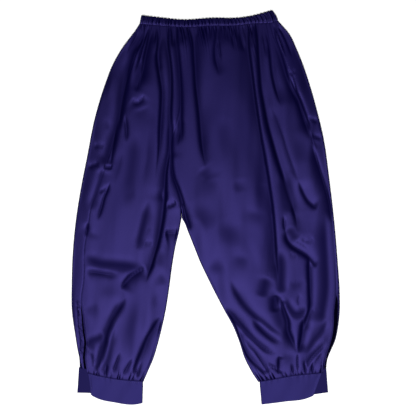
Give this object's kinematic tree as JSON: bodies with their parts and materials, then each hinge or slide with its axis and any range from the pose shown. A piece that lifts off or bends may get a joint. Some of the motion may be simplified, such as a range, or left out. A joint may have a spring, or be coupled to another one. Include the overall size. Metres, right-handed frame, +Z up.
{
  "type": "trousers",
  "caption": "Loose satin trousers laid flat, with a shirred elastic waistband, wide gathered legs, side seams that open above the ankle and plain straight cuffs.",
  "frame": {"origin": "centre of the garment's outline, on the surface it lies on", "axes": "+Z up from the surface to the front panels, +Y from the cuffs to the waistband, +X to the right as seen from above"},
  "size_m": [0.6705, 0.9836, 0.0133],
  "materials": {
    "satin_band": "dark violet-blue satin, soft sheen, shirred over elastic",
    "satin_front": "violet-blue satin, soft sheen",
    "satin_back": "violet-blue satin, soft sheen",
    "satin_cuff": "violet-blue satin, smooth and firm, soft sheen"
  },
  "bodies": {
    "root": {"waistband": "satin_band", "front_left": "satin_front", "front_right": "satin_front", "back_left": "satin_back", "back_right": "satin_back", "cuff_left": "satin_cuff", "cuff_right": "satin_cuff"}
  },
  "joints": []
}
